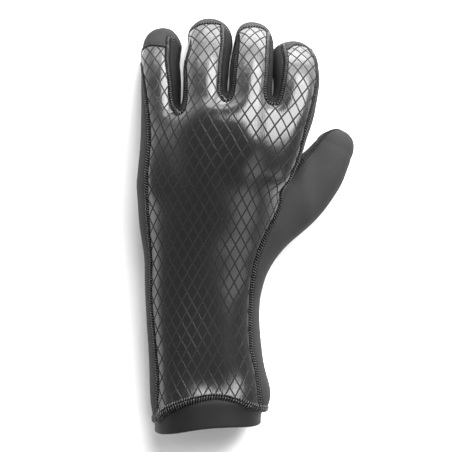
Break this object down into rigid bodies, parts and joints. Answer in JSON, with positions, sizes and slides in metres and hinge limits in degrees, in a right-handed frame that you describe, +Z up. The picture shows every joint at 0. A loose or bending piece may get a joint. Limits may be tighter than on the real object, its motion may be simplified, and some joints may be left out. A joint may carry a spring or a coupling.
{
  "type": "neoprene glove",
  "caption": "Left-hand neoprene glove with a coated diamond-net back, plain jersey palm and thumb, fourchettes between the fingers and a smooth inner cuff band.",
  "frame": {"origin": "on the floor, under the middle of the glove's outline seen from above", "axes": "+Y from the cuff to the fingertips, +X from the little finger to the thumb, +Z up through the back of the hand"},
  "size_m": [0.1349, 0.2564, 0.0776],
  "materials": {
    "coated_skin": "glossy coated neoprene with a printed diamond net",
    "jersey": "matte nylon jersey on neoprene",
    "fourchette_jersey": "matte nylon jersey on neoprene",
    "smooth_band": "matte smooth-skin neoprene"
  },
  "bodies": {
    "root": {"back_panel": "coated_skin", "palm_panel": "jersey", "thumb_panel": "jersey", "fourchette_little_ring": "fourchette_jersey", "fourchette_ring_middle": "fourchette_jersey", "fourchette_middle_index": "fourchette_jersey", "cuff_band": "smooth_band"}
  },
  "joints": []
}
